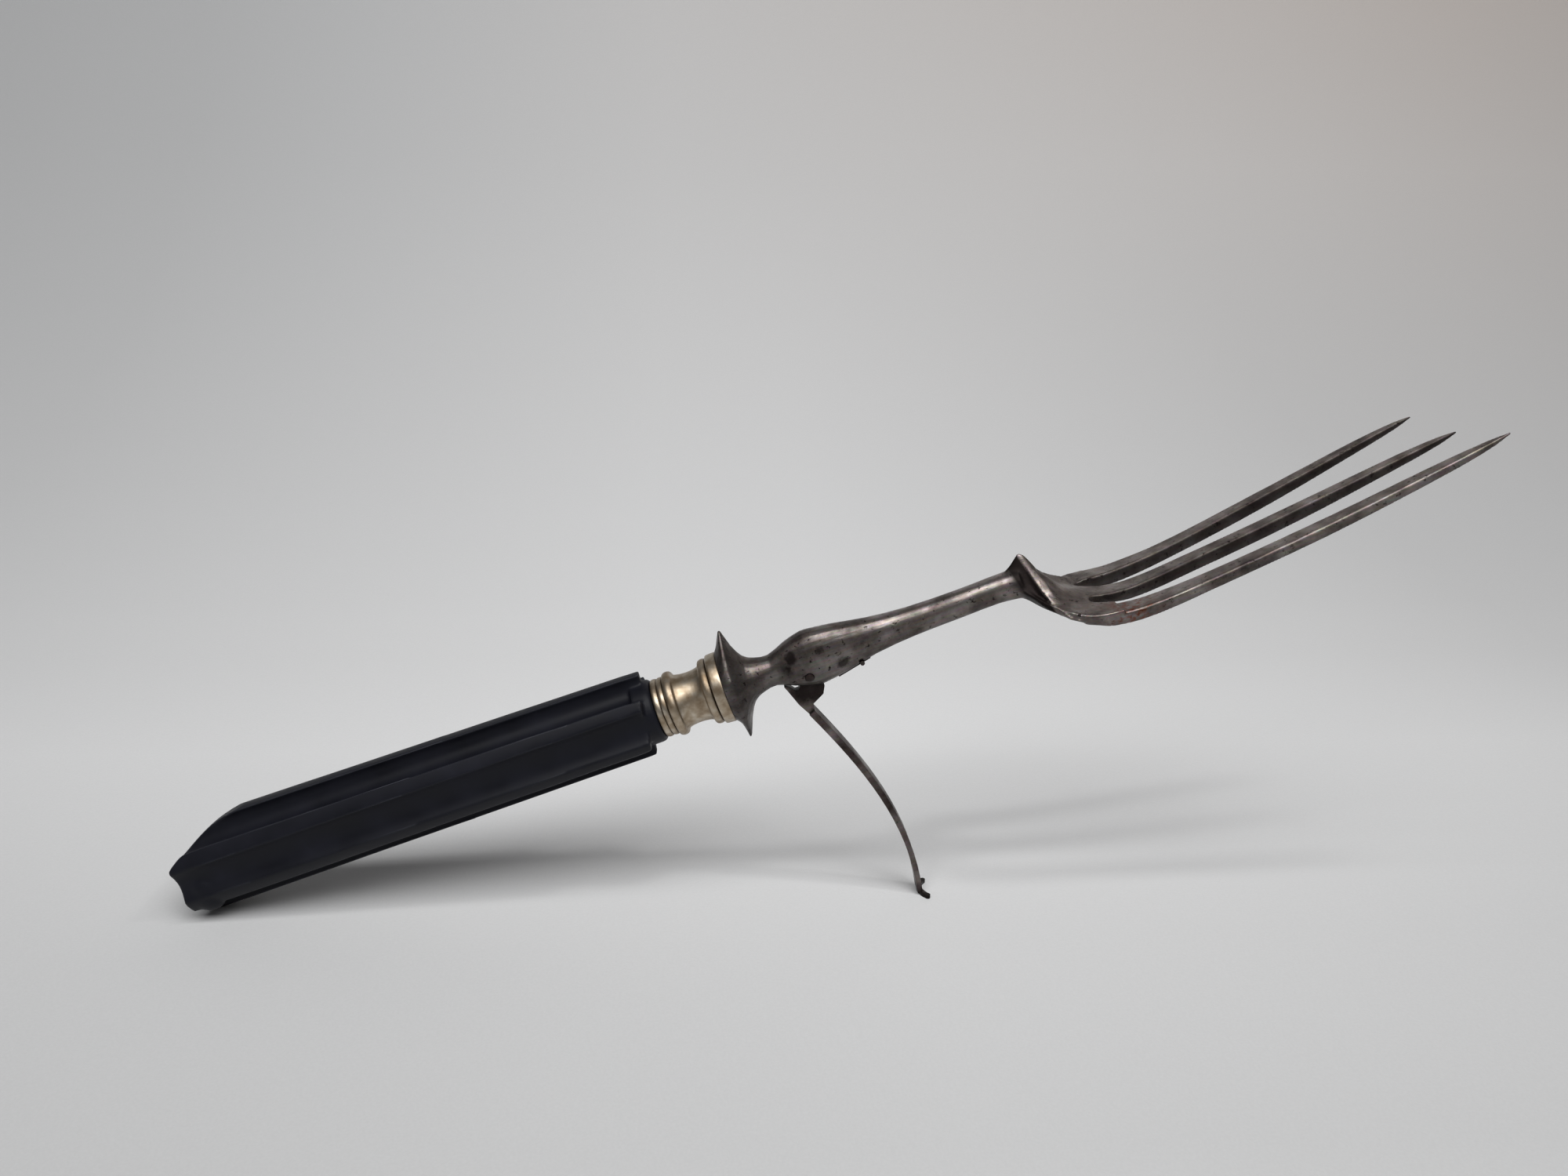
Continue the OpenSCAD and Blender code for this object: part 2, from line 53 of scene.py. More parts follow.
# %% The frame of the fork and the frame of the table
MM = 0.001
TILT = math.radians(19.6724)
MIDDLE = 32.6929 * MM
TABLE_LEVEL = -44.3825 * MM
TO_TABLE = (Matrix.Translation((-MIDDLE, 0, -TABLE_LEVEL))
            @ Matrix.Rotation(-TILT, 4, "Y"))


def on_fork(x, y, z):
    """A point of the straight fork, in millimetres, where it stands on the table."""
    return TO_TABLE @ Vector((x * MM, y * MM, z * MM))


print("The tip of the middle tine is at", [round(v, 4) for v in on_fork(176, 0, 1)])

# %% [markdown]
# ## Small tools of this file
# Operators work on what is selected, so each piece starts with nothing selected. A
# profile is drawn as by hand: one vertex, extruded from point to point.


# %% Selecting, drawing and placing
def pick(*pieces):
    """Only these pieces are selected, and the first is active."""
    if bpy.context.object and bpy.context.object.mode != "OBJECT":
        bpy.ops.object.mode_set(mode="OBJECT")
    bpy.ops.object.select_all(action="DESELECT")
    for piece in pieces:
        piece.select_set(True)
    bpy.context.view_layer.objects.active = pieces[0]


def trace(name, points, close=False):
    """A line through points, drawn by extruding one vertex."""
    pick_none()
    bpy.ops.mesh.primitive_plane_add(size=0.01, location=(0, 0, 0))
    line = bpy.context.object
    line.name = line.data.name = name
    bpy.ops.object.mode_set(mode="EDIT")
    bpy.ops.mesh.merge(type="CENTER")
    bpy.ops.transform.translate(value=points[0])
    for start, end in zip(points, points[1:]):
        bpy.ops.mesh.extrude_region_move(
            TRANSFORM_OT_translate={"value": Vector(end) - Vector(start)})
    if close:
        bpy.ops.mesh.select_all(action="SELECT")
        bpy.ops.mesh.edge_face_add()
    bpy.ops.object.mode_set(mode="OBJECT")
    return line


def pick_none():
    if bpy.context.object and bpy.context.object.mode != "OBJECT":
        bpy.ops.object.mode_set(mode="OBJECT")
    bpy.ops.object.select_all(action="DESELECT")


def turn_on_lathe(name, outline, steps):
    """A turned piece about the fork's axis, from points of place and radius in mm."""
    piece = trace(name, [(x * MM, 0, r * MM) for x, r in outline])
    pick(piece)
    bpy.ops.object.mode_set(mode="EDIT")
    bpy.ops.mesh.select_all(action="SELECT")
    bpy.ops.mesh.spin(steps=steps, angle=math.tau, center=(0, 0, 0), axis=(1, 0, 0))
    bpy.ops.mesh.select_all(action="SELECT")
    bpy.ops.mesh.remove_doubles(threshold=0.004 * MM)
    bpy.ops.mesh.normals_make_consistent(inside=False)
    bpy.ops.object.mode_set(mode="OBJECT")
    return piece


def cut(piece, tool, operation="DIFFERENCE"):
    """Piece is cut by the tool, or kept inside it, or joined with it."""
    pick(piece)
    modifier = piece.modifiers.new("cut", "BOOLEAN")
    modifier.operation = operation
    modifier.object = tool
    modifier.solver = "EXACT"
    bpy.ops.object.modifier_apply(modifier="cut")
    bpy.data.objects.remove(tool)


def stand_up(piece):
    """The straight piece is tilted and moved to where it stands, in its mesh."""
    pick(piece)
    piece.matrix_world = TO_TABLE @ piece.matrix_world
    bpy.ops.object.transform_apply(location=True, rotation=True, scale=True)


def soften(piece, width, segments, bevel_above, smooth_below):
    """Arrises sharper than one angle are rounded, and what is flatter is smoothed."""
    pick(piece)
    modifier = piece.modifiers.new("arrises", "BEVEL")
    modifier.width = width * MM
    modifier.segments = segments
    modifier.limit_method = "ANGLE"
    modifier.angle_limit = math.radians(bevel_above)
    modifier.use_clamp_overlap = True
    bpy.ops.object.modifier_apply(modifier="arrises")
    bpy.ops.object.shade_smooth_by_angle(angle=math.radians(smooth_below))


def wear(piece, passes, where=None):
    """Smoothing rounds the arrises, everywhere or by a weight from 0 to 1."""
    pick(piece)
    modifier = piece.modifiers.new("wear", "SMOOTH")
    modifier.factor = 0.5
    modifier.iterations = passes
    if where:
        group = piece.vertex_groups.new(name="worn")
        for vertex in piece.data.vertices:
            group.add([vertex.index], min(1, max(0, where(vertex.co / MM))), "REPLACE")
        modifier.vertex_group = group.name
    bpy.ops.object.modifier_apply(modifier="wear")
    piece.vertex_groups.clear()


def even_skin(piece, grain):
    """The piece gets a skin of small, even faces, grain mm wide."""
    pick(piece)
    piece.data.remesh_voxel_size = grain * MM
    bpy.ops.object.voxel_remesh()


def skin_over(name, rings):
    """A closed piece over rings of points in mm, each with the same number of points."""
    count = len(rings[0])
    pick_none()
    bpy.ops.mesh.primitive_grid_add(x_subdivisions=count, y_subdivisions=len(rings) - 1)
    piece = bpy.context.object
    piece.name = piece.data.name = name
    for vertex in piece.data.vertices:
        row, column = divmod(vertex.index, count + 1)
        vertex.co = Vector(rings[row][column % count]) * MM
    bpy.ops.object.mode_set(mode="EDIT")
    bpy.ops.mesh.select_all(action="SELECT")
    bpy.ops.mesh.remove_doubles(threshold=0.002 * MM)
    bpy.ops.mesh.fill_holes(sides=0)
    bpy.ops.mesh.select_all(action="SELECT")
    bpy.ops.mesh.normals_make_consistent(inside=False)
    bpy.ops.object.mode_set(mode="OBJECT")
    return piece


def copy_of(node, name):
    """A welded copy of a CAD node's mesh, which can then be shaped."""
    piece = bpy.data.objects.new(name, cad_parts[node].data.copy())
    bpy.context.scene.collection.objects.link(piece)
    piece.data.name = name
    pick(piece)
    bpy.ops.mesh.customdata_custom_splitnormals_clear()
    bpy.ops.object.mode_set(mode="EDIT")
    bpy.ops.mesh.select_all(action="SELECT")
    bpy.ops.mesh.remove_doubles(threshold=0.002 * MM)
    bpy.ops.object.mode_set(mode="OBJECT")
    return piece


def tell(piece):
    """Prints the piece's size in mm and its number of faces."""
    size = [round(1000 * side, 1) for side in piece.dimensions]
    print(piece.name, "is", size, "mm with", len(piece.data.polygons), "faces")


# %% [markdown]
# ## The grip
# The real grip is a bar of hard black composition. Four deep flutes were milled along
# its upper and lower faces and a shallow one along each side, its butt was ground to a
# long upper slope, and all of it was buffed. Here a tapered bar is cut by six long
# cutters, as the mill did, then by the outline of the butt and by the slanted shoulder.

# %% Sizes of the grip, in mm
BUTT = -106.1
FRONT_R, BUTT_R = 9.2, 10.1
DEEP_FLUTE, SIDE_FLUTE = (3.3, 3.7), (5.2, 1.9)  # radius and depth
RIB_FRONT, RIB_SLANT = -2.5, math.radians(8)
BUTT_ROUND, BUTT_NOSE, BUTT_CORNER, NOSE_R = 30, 3.5, 2.5, 1.2
BUTT_SKEW = math.radians(5)
BORE_R, BORE_LEN = 3.4, 84
CLEAR = 1

# %% Tapered bar with its flutes
pick_none()
bpy.ops.mesh.primitive_cone_add(
    vertices=240, radius1=FRONT_R * MM, radius2=BUTT_R * MM, depth=-BUTT * MM,
    location=(BUTT / 2 * MM, 0, 0), rotation=(0, -math.pi / 2, 0))
grip = bpy.context.object
grip.name = grip.data.name = "grip"

cutters = []
for sixth in range(6):
    radius, depth = SIDE_FLUTE if sixth % 3 == 1 else DEEP_FLUTE
    back = BUTT_R - depth + radius
    front = back * FRONT_R / BUTT_R
    slope = math.atan2(back - front, -BUTT)
    pick_none()
    bpy.ops.mesh.primitive_cylinder_add(
        vertices=96, radius=radius * MM, depth=(-BUTT + 4 * CLEAR) * MM)
    cutter = bpy.context.object
    cutter.matrix_world = (
        Matrix.Rotation((sixth + 0.5) * math.tau / 6, 4, "X")
        @ Matrix.Translation((BUTT / 2 * MM, 0, (back + front) / 2 * MM))
        @ Matrix.Rotation(math.pi / 2 + slope, 4, "Y"))
    cutters.append(cutter)
pick(*cutters)
bpy.ops.object.join()
cut(grip, cutters[0])
tell(grip)


# %% [markdown]
# The outline of the butt has a long arc above, a small round nose, a flat and a small
# round corner below. It is drawn as a line, filled, and extruded across the grip.

# %% Outline of the butt
def arc(centre, radius, start, end, steps):
    """Points of an arc in the side view, with angles in degrees."""
    angles = [math.radians(start + (end - start) * k / steps) for k in range(steps + 1)]
    return [(centre[0] + radius * math.cos(a), centre[1] + radius * math.sin(a))
            for a in angles]


high = BUTT_R + CLEAR
slope_centre = (math.sqrt(BUTT_ROUND ** 2 - (BUTT_NOSE - BUTT_R + BUTT_ROUND) ** 2),
                BUTT_R - BUTT_ROUND)
nose_reach = math.sqrt((BUTT_ROUND - NOSE_R) ** 2 - (slope_centre[0] - NOSE_R) ** 2)
nose_centre = (NOSE_R, slope_centre[1] + nose_reach)
nose_turn = math.degrees(math.atan2(nose_centre[1] - slope_centre[1],
                                    nose_centre[0] - slope_centre[0]))
outline = ([(CLEAR - BUTT, -high), (CLEAR - BUTT, high), (slope_centre[0], high)]
           + arc(slope_centre, BUTT_ROUND, 90, nose_turn, 28)
           + arc(nose_centre, NOSE_R, nose_turn + 5, 180, 8)
           + arc((BUTT_CORNER, -BUTT_R + BUTT_CORNER), BUTT_CORNER, 180, 270, 12)
           + [(BUTT_CORNER, -high)])
butt_block = trace("butt_block", [(x * MM, -2 * high * MM, z * MM) for x, z in outline],
                   close=True)
pick(butt_block)
bpy.ops.object.mode_set(mode="EDIT")
bpy.ops.mesh.select_all(action="SELECT")
bpy.ops.mesh.extrude_region_move(TRANSFORM_OT_translate={"value": (0, 4 * high * MM, 0)})
bpy.ops.mesh.select_all(action="SELECT")
bpy.ops.mesh.normals_make_consistent(inside=False)
bpy.ops.object.mode_set(mode="OBJECT")
butt_block.matrix_world = (Matrix.Translation((BUTT * MM, 0, 0))
                           @ Matrix.Rotation(-BUTT_SKEW, 4, "Z"))
cut(grip, butt_block, "INTERSECT")
tell(grip)

# %% [markdown]
# The ribs stop at a slanted shoulder, which one bisecting plane cuts and fills. In
# front of it the grip goes on as a plain turned collar, with a rounded front edge.

# %% Shoulder, collar and bore
pick(grip)
bpy.ops.object.transform_apply(location=True, rotation=True, scale=True)
bpy.ops.object.mode_set(mode="EDIT")
bpy.ops.mesh.select_all(action="SELECT")
bpy.ops.mesh.bisect(
    plane_co=(RIB_FRONT * MM, 0, 0),
    plane_no=(math.cos(RIB_SLANT), 0, -math.sin(RIB_SLANT)),
    use_fill=True, clear_outer=True)
bpy.ops.object.mode_set(mode="OBJECT")

COLLAR_R, COLLAR_LEN, COLLAR_ROUND = 6.9, 4.2, 1.1
collar_edge = [math.radians(9 * k) for k in range(11)]
collar = turn_on_lathe("collar", (
    [(-COLLAR_LEN, 0), (-COLLAR_LEN, COLLAR_R)]
    + [(COLLAR_ROUND * (math.sin(a) - 1), COLLAR_R + COLLAR_ROUND * (math.cos(a) - 1))
       for a in collar_edge]
    + [(0, 0)]), 96)
cut(grip, collar, "UNION")
tell(grip)

# %% [markdown]
# Buffing and a century of hands have rounded every arris of the grip. It gets a skin of
# small even faces, and smoothing then wears it: a little along the ribs, more at their
# fronts and most at the butt, where the hand and the table rub.

# %% Worn arrises
# The two lower ribs end in full round lobes
lobes = []
for side in (-1, 1):
    pick_none()
    bpy.ops.mesh.primitive_uv_sphere_add(
        segments=48, ring_count=24, radius=MM, location=(-101.8 * MM, side * 6.6 * MM, -3.4 * MM),
        scale=(3.95, 2.6, 4.5))
    lobes.append(bpy.context.object)
pick(grip, *lobes)
bpy.ops.object.join()
RIB_WEAR, FRONT_WEAR, BUTT_WEAR = 3, 13, 30
even_skin(grip, 0.35)
wear(grip, RIB_WEAR)
wear(grip, FRONT_WEAR, lambda at: (at.x - RIB_FRONT + 2.5) / 1.5)
wear(grip, BUTT_WEAR, lambda at: (BUTT + 9 - at.x) / 7 * (0.3 + 0.7 * (at.z + 9) / 8))
bpy.ops.object.shade_smooth()
tell(grip)

# %% [markdown]
# The spigot enters the ferrule, and the bore takes the tang. The corner that the fork
# stands on is worn flat by the table.

# %% Spigot, bore and worn corner
SPIGOT_R, SPIGOT_LEN = 4.6, 5
pick_none()
bpy.ops.mesh.primitive_cylinder_add(
    vertices=96, radius=SPIGOT_R * MM, depth=2 * SPIGOT_LEN * MM,
    location=(0, 0, 0), rotation=(0, math.pi / 2, 0))
cut(grip, bpy.context.object, "UNION")
pick_none()
bpy.ops.mesh.primitive_cylinder_add(
    vertices=64, radius=BORE_R * MM, depth=(BORE_LEN + 2 * SPIGOT_LEN) * MM,
    location=(-(BORE_LEN / 2 - SPIGOT_LEN) * MM, 0, 0), rotation=(0, math.pi / 2, 0))
cut(grip, bpy.context.object)
stand_up(grip)
print("Before its corner is worn, the grip reaches down to",
      round(min(v.co.z for v in grip.data.vertices) / MM, 2), "mm")
pick_none()
bpy.ops.mesh.primitive_cube_add(size=0.1, location=(-0.13, 0, -0.05))
cut(grip, bpy.context.object)
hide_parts("handle")
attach(grip, "fork_body")
tell(grip)

# %% [markdown]
# ## The ferrule
# The real ferrule was turned from a pale copper and nickel alloy: two thin rings, a
# bead, a hollow waist, a second bead and a flared band. Its outline is drawn once and
# spun about the axis, as on the lathe.

# %% Ferrule
FERRULE_LEN, RING_LEN, BEAD_LEN, BAND_LEN = 15, 1.4, 1.9, 2.3
RING_R, REAR_BEAD_R, WAIST_R, FRONT_BEAD_R, BAND_R = 6.35, 7, 5.5, 7.15, 7.65
GROOVE = 0.35


def bead(start, length, radius, depth, steps=14):
    """A half-round bead between two grooves."""
    angles = [math.pi * k / steps for k in range(steps + 1)]
    return [(start + length * (1 - math.cos(a)) / 2, radius - depth + depth * math.sin(a))
            for a in angles]


waist_start = 2 * RING_LEN + BEAD_LEN
waist_len = FERRULE_LEN - BAND_LEN - BEAD_LEN - waist_start
waist_edge = WAIST_R + 0.8
band_start = FERRULE_LEN - BAND_LEN
ferrule_outline = (
    [(0, SPIGOT_R + 0.05)]
    + bead(0, RING_LEN, RING_R, GROOVE)
    + bead(RING_LEN, RING_LEN, RING_R, GROOVE)
    + bead(2 * RING_LEN, BEAD_LEN, REAR_BEAD_R, 1.6 * GROOVE)
    + [(waist_start + waist_len * (1 - math.cos(a)) / 2,
        waist_edge - (waist_edge - WAIST_R) * math.sin(a))
       for a in [math.pi * k / 24 for k in range(25)]]
    + bead(waist_start + waist_len, BEAD_LEN, FRONT_BEAD_R, 1.6 * GROOVE)
    + [(band_start, BAND_R - GROOVE), (band_start + 0.12, BAND_R - 0.17),
       (band_start + 0.3, BAND_R - 0.1), (band_start + 0.6, BAND_R - 0.07),
       (FERRULE_LEN - 0.4, BAND_R), (FERRULE_LEN - 0.15, BAND_R - 0.02),
       (FERRULE_LEN, BAND_R - 0.1), (FERRULE_LEN, SPIGOT_R + 0.05),
       (0, SPIGOT_R + 0.05)])
sleeve = turn_on_lathe("turned_ferrule", ferrule_outline, 144)
stand_up(sleeve)
pick(sleeve)
bpy.ops.object.shade_smooth_by_angle(angle=math.radians(48))
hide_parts("ferrule")
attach(sleeve, "fork_body")
tell(sleeve)

# %% [markdown]
# ## The forging
# Flange, neck, swelling, shank, crown and tines are one piece of steel. Its shape is
# the CAD node's. Some details of the hammer and the file are finer than the CAD model
# has them, and are laid over a copy of it: the crisp rim where the shank spreads into
# the crown, and the full far shoulder of the palm.

# %% Rim of the crown and shoulder of the palm
# Each row: a point of the ridge, then how far its rear foot and its front foot lie from it
RIM = [((81.9, 0, 6.6), (-1.8, -2.6), (1.4, -1.9)), ((82.6, 0.8, 4.9), (-1.8, -2.6), (1.8, -1.6)),
       ((82.8, 2, 3.0), (-1.7, -2.2), (2.4, -1.6)), ((83.4, 3.3, 0.8), (-1.3, -1.6), (2.6, -1.5)),
       ((84.1, 5.3, -1.8), (-0.3, -1.2), (2.6, -1.3)), ((84.8, 7.5, -3.9), (0, -1.2), (2.2, -1.1)),
       ((86.2, 10.5, -6.1), (0.4, -1.1), (1.4, -0.8)), ((88.8, 12.7, -7.6), (0.5, -0.5), (0.6, -0.4)),
       ((90.6, 13.0, -8.0), (0.1, -0.1), (0.3, -0.1))]
rim_rings = []
for side in (-1, 1):
    half = [[(x, side * y, z), (x + rear[0], side * y, z + rear[1]),
             (x + front[0], side * y, z + front[1])] for (x, y, z), rear, front in RIM]
    rim_rings = half[:0:-1] + half[:1] if side < 0 else rim_rings + half[1:]
rim = skin_over("crown_rim", rim_rings)

shoulder = skin_over("palm_shoulder", [
    [(83.9, 1.2, 4.3), (84.1, 0.4, 2.8), (83.7, 1.9, 1.8)],
    [(84.9, 2.2, 2.2), (85.1, 0.4, 0.8), (84.7, 3.2, -0.6)],
    [(86.5, 3.6, 0.1), (86.9, 0.8, -1.6), (86.2, 5.4, -2.8)],
    [(88.9, 6, -2.1), (89.3, 2.2, -4.0), (88.6, 8.4, -5.2)],
    [(91.4, 8, -4.0), (91.8, 4, -5.6), (91.2, 10.4, -6.4)],
    [(93.9, 10.5, -5.8), (94.2, 7.5, -6.9), (93.8, 12, -7.2)],
    [(96, 11.8, -6.6), (96, 10.5, -7.4), (96, 12.6, -7.4)]])

# %% [markdown]
# The tines are drawn out anew, each as a skin over rings. A ring is a full, nearly
# rectangular section with rounded lower corners. A smooth curve runs through the rows
# of place, width and thickness, so that a tine swells and tapers without corners.


# %% Tines
def smooth_rows(rows, steps):
    """A smooth curve through rows of numbers, the first number being the place along."""
    rows = [Vector(row) for row in rows]
    ends = [2 * rows[0] - rows[1], *rows, 2 * rows[-1] - rows[-2]]
    path = []
    for before, start, end, after in zip(ends, ends[1:], ends[2:], ends[3:]):
        span = end[0] - start[0]
        leave = (end - before) / (end[0] - before[0]) * span
        arrive = (after - start) / (after[0] - start[0]) * span
        for step in range(steps):
            t = step / steps
            path.append((2 * t ** 3 - 3 * t * t + 1) * start + (t ** 3 - 2 * t * t + t) * leave
                        + (3 * t * t - 2 * t ** 3) * end + (t ** 3 - t * t) * arrive)
    return path + [rows[-1]]


SECTION = [(-0.5, -0.12), (-0.42, 0), (0.42, 0), (0.5, -0.12),
           (0.5, -0.62), (0.4, -1), (-0.4, -1), (-0.5, -0.62)]
# Place along, place across, height of the top, width and thickness, in mm
NEAR = [(89, -9.8, -6.9, 4.6, 1.7), (94.5, -10.2, -7.53, 6.4, 2.73),
        (102.5, -10.94, -7.94, 5.7, 2.71), (116.16, -11.86, -6.71, 4.7, 2.41),
        (140.3, -13.24, -3.36, 4.1, 2.35), (164.47, -14.34, 0.51, 3.2, 1.76),
        (173.63, -14.66, 1.88, 1.8, 1.13), (177.8, -14.8, 2.35, 0.34, 0.3)]
MIDDLE_TINE = [(89, 0, -6.3, 5.0, 1.2), (94.5, 0, -6.58, 6.4, 2.23),
               (102.5, 0, -7.4, 5.4, 2.7), (115.69, 0, -6.21, 4.4, 2.81),
               (139.32, 0, -3.36, 3.7, 2.77), (162.96, 0, -0.21, 2.9, 1.9),
               (171.93, 0, 0.78, 1.65, 1.22), (176, 0, 0.95, 0.34, 0.34)]
FAR = [(89, 9.8, -5.8, 4.6, 1.4), (94.5, 10.2, -5.98, 6.4, 2.63),
       (102.5, 10.94, -6.68, 5.4, 3.09), (115.48, 11.86, -6.07, 4.4, 2.8),
       (138.89, 13.24, -2.7, 3.7, 2.77), (162.29, 14.34, 1.01, 2.9, 1.84),
       (171.17, 14.66, 2.19, 1.65, 1.16), (175.2, 14.8, 2.45, 0.34, 0.34)]
tines = []
for name, rows in (("near_tine", NEAR), ("middle_tine", MIDDLE_TINE), ("far_tine", FAR)):
    tines.append(skin_over(name, [
        [(x, y + across * wide, z + down * thick) for across, down in SECTION]
        for x, y, z, wide, thick in smooth_rows(rows, 8)]))
    tell(tines[-1])

# %% [markdown]
# The tines of the copy are cut off in front of the slot roots, and the new ones are
# laid in. One skin of small even faces joins everything. Smoothing then wears it a
# little, and blends the hollow behind the crown and the top of the palm, as the file
# left them.

# %% Forged fork
forging = copy_of("fork", "forged_fork")
pick_none()
bpy.ops.mesh.primitive_cube_add(size=1, scale=(0.1, 0.05, 0.05), location=(0.147, 0, 0))
beyond = bpy.context.object
stand_up(beyond)
cut(forging, beyond)
for detail in (rim, shoulder, *tines):
    stand_up(detail)
pick(forging, rim, shoulder, *tines)
bpy.ops.object.join()
even_skin(forging, 0.34)
TO_FORK = TO_TABLE.inverted()


def behind_crown(at):
    """1 in the hollow behind the crown, 0 elsewhere."""
    at = TO_FORK @ (at * MM) / MM
    return min(1, (at.x - 74) / 3) * min(1, (82 + 0.25 * max(0, -at.z) - at.x) / 0.8)


def on_palm(at):
    """1 on the palm in front of the rim, 0 elsewhere."""
    at = TO_FORK @ (at * MM) / MM
    ridge = 83.6 - 0.27 * at.z
    return min(1, (at.x - ridge - 0.2) / 0.9) * min(1, (93.5 - at.x) / 2)


wear(forging, 2)
wear(forging, 12, behind_crown)
wear(forging, 24, on_palm)
bpy.ops.object.shade_smooth()
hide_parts("fork")
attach(forging, "fork_body")
tell(forging)

# %% [markdown]
# ## The guard and its fittings
# The guard was forged and filed: a tongue that turns in the slot, a thin bowed leg and
# a crescent foot. The pin was hammered into its hole, so each end is a little domed.

# %% Guard
prop = copy_of("guard", "filed_guard")
soften(prop, 0.16, 2, 34, 34)
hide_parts("guard")
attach(prop, "guard_body")
tell(prop)

# %% Rivet with domed ends
PIN_R, PIN_LEN = 0.95, 8.2 * 0.9
PIVOT = (32.5, -3.0)
pin_points = [(-PIN_LEN / 2, 0), (-PIN_LEN / 2 + 0.03, 0.5 * PIN_R),
              (-PIN_LEN / 2 + 0.12, 0.86 * PIN_R), (-PIN_LEN / 2 + 0.24, PIN_R)]
rivet = turn_on_lathe("pivot_rivet",
                      pin_points + [(-x, r) for x, r in reversed(pin_points)], 48)
pick(rivet)
rivet.matrix_world = (Matrix.Translation((PIVOT[0] * MM, 0, PIVOT[1] * MM))
                      @ Matrix.Rotation(math.pi / 2, 4, "Z"))
bpy.ops.object.transform_apply(location=True, rotation=True, scale=True)
stand_up(rivet)
bpy.ops.object.shade_smooth_by_angle(angle=math.radians(40))
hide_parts("pivot_pin")
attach(rivet, "fork_body")
tell(rivet)

# %% Leaf spring
leaf = copy_of("guard_spring", "leaf_spring")
soften(leaf, 0.12, 2, 40, 34)
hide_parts("guard_spring")
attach(leaf, "fork_body")
tell(leaf)

# %% [markdown]
# ## Materials
# A colour is picked as it looks on the screen, in sRGB, and one function turns it into
# the linear numbers that the shader wants. One more function adds a node, with its
# settings and its links, so a material reads as a list of nodes.


# %% Colours and nodes
def srgb(text, alpha=1.0):
    """Linear colour from a hex value such as 8a8580."""
    values = [int(text[k:k + 2], 16) / 255 for k in (0, 2, 4)]
    return (*[v / 12.92 if v <= 0.04045 else ((v + 0.055) / 1.055) ** 2.4 for v in values],
            alpha)


def add(material, kind, inputs=None, stops=None, **settings):
    """Adds a node. Inputs are values or sockets to link, stops are those of a ramp."""
    node = material.node_tree.nodes.new("ShaderNode" + kind)
    for name, value in settings.items():
        setattr(node, name, value)
    if stops:
        ramp = node.color_ramp.elements
        while len(ramp) < len(stops):
            ramp.new(0.5)
        for element, (place, colour) in zip(ramp, stops):
            element.position = place
            element.color = colour if len(colour) == 4 else (*colour, 1)
    for name, value in (inputs or {}).items():
        if isinstance(value, bpy.types.NodeSocket):
            material.node_tree.links.new(value, node.inputs[name])
        else:
            node.inputs[name].default_value = value
    return node


def new_material(name):
    """An empty material with its surface shader, and the coordinates of the fork."""
    material = bpy.data.materials.new(name)
    material.use_nodes = True
    shader = material.node_tree.nodes["Principled BSDF"]
    place = add(material, "TexCoord")
    along = add(material, "Mapping", {
        "Vector": place.outputs["Object"],
        "Location": TO_TABLE.inverted().translation,
        "Rotation": (0, TILT, 0)})
    return material, shader, along.outputs["Vector"]


def grey(value):
    return (value, value, value, 1)


def paint(piece, material):
    piece.data.materials.clear()
    piece.data.materials.append(material)


# %% [markdown]
# ### Hard black composition
# Ebonite, a rubber cured until it is hard, is turned, milled and buffed. It has the
# gloss of a dense plastic (IOR about 1.6). Handling dulls it in clouds a few
# millimetres wide, leaves fine scratches along the grip, and pales the arrises; the
# paler arrises are partly wear and partly a painted highlight.

# %% Ebonite, milled and buffed
ebonite, shader, along = new_material("ebonite_milled_and_buffed")
clouds = add(ebonite, "TexNoise", {"Vector": along, "Scale": 1 / (9 * MM), "Detail": 4})
body = add(ebonite, "ValToRGB", {"Fac": clouds.outputs["Fac"]},
           stops=[(0.3, srgb("0f1016")), (0.62, srgb("15161e")), (0.85, srgb("1c1d27"))])
stretched = add(ebonite, "Mapping", {"Vector": along, "Scale": (0.06, 1, 1)})
scratches = add(ebonite, "TexNoise", {"Vector": stretched.outputs["Vector"],
                                      "Scale": 1 / (0.35 * MM), "Detail": 3})
rounded = add(ebonite, "Bevel", {"Radius": 0.5 * MM}, samples=6)
plain = add(ebonite, "NewGeometry")
turned_away = add(ebonite, "VectorMath", {0: rounded.outputs["Normal"], 1: plain.outputs["Normal"]},
                  operation="DOT_PRODUCT")
# Paler arrises: partly wear, partly a painted highlight along them
arris_wear_and_highlight = add(ebonite, "MapRange", {"Value": turned_away.outputs["Value"], "From Min": 0.995,
                                  "From Max": 0.9, "To Min": 0.0, "To Max": 0.9})
worn = add(ebonite, "Math", {0: arris_wear_and_highlight.outputs["Result"], 1: scratches.outputs["Fac"]},
           operation="MULTIPLY")
colour = add(ebonite, "Mix", {0: worn.outputs["Value"], 6: body.outputs["Color"],
                              7: srgb("5c5e66")}, data_type="RGBA")
gloss = add(ebonite, "MapRange", {"Value": clouds.outputs["Fac"], "From Min": 0.3,
                                  "From Max": 0.75, "To Min": 0.4, "To Max": 0.56})
grain = add(ebonite, "Bump", {"Height": scratches.outputs["Fac"], "Strength": 0.08,
                              "Distance": 0.05 * MM})
ebonite.node_tree.links.new(colour.outputs[2], shader.inputs["Base Color"])
ebonite.node_tree.links.new(gloss.outputs["Result"], shader.inputs["Roughness"])
ebonite.node_tree.links.new(grain.outputs["Normal"], shader.inputs["Normal"])
shader.inputs["IOR"].default_value = 1.55
shader.inputs["Specular IOR Level"].default_value = 0.15
paint(grip, ebonite)

# %% [markdown]
# ### Nickel silver, turned
# A yellow-white alloy of copper, nickel and zinc, turned on a lathe. The tool left
# rings about a tenth of a millimetre apart, and brown tarnish stays in the grooves,
# where no cloth reaches. Ambient occlusion finds those places.

